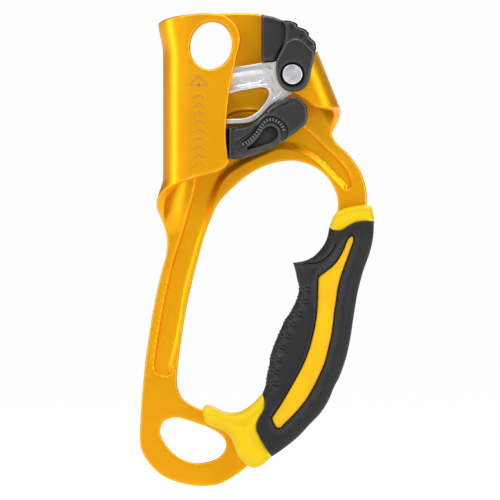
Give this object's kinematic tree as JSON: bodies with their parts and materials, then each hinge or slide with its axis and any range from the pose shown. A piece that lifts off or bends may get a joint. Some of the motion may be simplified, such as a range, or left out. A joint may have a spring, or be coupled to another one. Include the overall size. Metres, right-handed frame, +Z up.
{
  "type": "handled rope ascender",
  "caption": "Handled rope ascender with a bent sheet frame, a toothed sprung cam with a safety trigger and a rubber hand grip.",
  "frame": {"origin": "on the axis of the rope channel, at the height of the cam's axle", "axes": "+Z up along the rope, +X from the rope towards the grip, -Y out of the front of the object"},
  "size_m": [0.0938, 0.0344, 0.1896],
  "materials": {
    "anodised_frame": "gold-orange anodised, satin",
    "cam_steel": "cast, bead-blasted and plated",
    "bright_steel": "polished",
    "spring_steel": "drawn wire",
    "black_plastic": "fine moulded texture",
    "lemon_plastic": "semi-gloss moulded",
    "yellow_plastic": "semi-gloss moulded",
    "grip_rubber": "matt, fine grain"
  },
  "bodies": {
    "root": {"frame": "anodised_frame", "top_cover": "black_plastic", "cam_axle": "bright_steel", "axle_washer_rear": "bright_steel", "grip_shell_front": "yellow_plastic", "grip_shell_rear": "yellow_plastic", "grip_collar_upper": "lemon_plastic", "grip_collar_lower": "lemon_plastic", "grip_inlay_front": "yellow_plastic", "grip_inlay_rear": "yellow_plastic", "grip_rubber": "grip_rubber"},
    "cam": {"cam": "cam_steel", "cam_bush": "bright_steel", "cam_washer_front": "bright_steel", "cam_washer_rear": "bright_steel", "cam_spring": "spring_steel", "trigger_pin": "bright_steel"},
    "trigger": {"trigger": "black_plastic", "trigger_spring": "spring_steel"}
  },
  "joints": [
    {"name": "cam_pivot", "type": "hinge", "parent": "root", "child": "cam", "pos_m": [0.0407, 0, 0], "axis": [0, -1, 0], "range_deg": [0, 48], "stiffness_Nm_per_rad": 0.06, "springref_deg": -28.65},
    {"name": "trigger_pivot", "type": "hinge", "parent": "cam", "child": "trigger", "pos_m": [0.0362, 0, -0.0112], "axis": [0, -1, 0], "range_deg": [0, 12], "stiffness_Nm_per_rad": 0.02, "springref_deg": -22.92}
  ]
}
